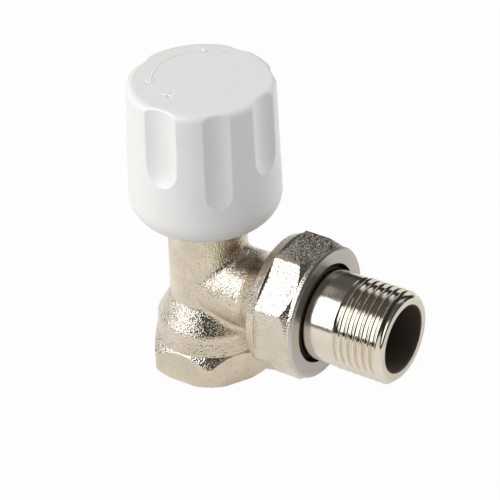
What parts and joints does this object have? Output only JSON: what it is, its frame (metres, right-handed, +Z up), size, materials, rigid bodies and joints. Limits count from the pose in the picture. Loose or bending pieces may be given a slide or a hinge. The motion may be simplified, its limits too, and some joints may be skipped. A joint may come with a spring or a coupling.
{
  "type": "angle radiator valve",
  "caption": "Angle radiator valve with a hexagonal threaded inlet, an octagonal union nut, a threaded tailpiece and a fluted white handwheel.",
  "frame": {"origin": "centre of the inlet's mouth, in the bottom face of the hexagonal base", "axes": "+Z up the stem axis to the handwheel, +X along the outlet axis towards the radiator"},
  "size_m": [0.0673, 0.034, 0.0727],
  "materials": {
    "blasted_nickel": "nickel plating over a shot-blasted forging",
    "machined_nickel": "satin nickel plating",
    "polished_nickel": "bright nickel plating",
    "white_moulding": "satin white moulding",
    "bare_brass": "machined",
    "seal_rubber": "matte",
    "spring_steel": "satin",
    "slip_plastic": "matte"
  },
  "bodies": {
    "body": {"valve_body": "blasted_nickel", "bonnet": "bare_brass", "bonnet_gasket": "seal_rubber", "gland_packing": "seal_rubber", "gland_nut": "bare_brass"},
    "handwheel": {"handwheel": "white_moulding", "hub_clip": "spring_steel", "spindle": "bare_brass", "lower_spindle_ring": "seal_rubber", "upper_spindle_ring": "seal_rubber", "spindle_circlip": "spring_steel", "thrust_washer": "slip_plastic"},
    "obturator": {"obturator": "bare_brass", "seat_washer": "seal_rubber", "seat_retainer": "bare_brass", "seat_screw": "spring_steel"},
    "tailpiece": {"tailpiece": "polished_nickel", "tail_ring": "seal_rubber"},
    "union_nut": {"union_nut": "machined_nickel"}
  },
  "joints": [
    {"name": "handwheel_turn", "type": "hinge", "parent": "body", "child": "handwheel", "pos_m": [0, 0, 0.06], "axis": [0, 0, 1], "range_deg": [0, 1260]},
    {"name": "obturator_lift", "type": "slide", "parent": "handwheel", "child": "obturator", "axis": [0, 0, 1], "range_m": [0, 0.00438]},
    {"name": "tailpiece_draw", "type": "slide", "parent": "body", "child": "tailpiece", "axis": [1, 0, 0], "range_m": [0, 0.00771]},
    {"name": "union_nut_turn", "type": "hinge", "parent": "tailpiece", "child": "union_nut", "pos_m": [0.025, 0, 0.0222], "axis": [1, 0, 0], "range_deg": [0, 1530]}
  ],
  "couplings": [
    {"joint": "obturator_lift", "follows": "handwheel_turn", "m_per_rad": 0.00019894},
    {"joint": "tailpiece_draw", "follows": "union_nut_turn", "m_per_rad": 0.00028871}
  ]
}
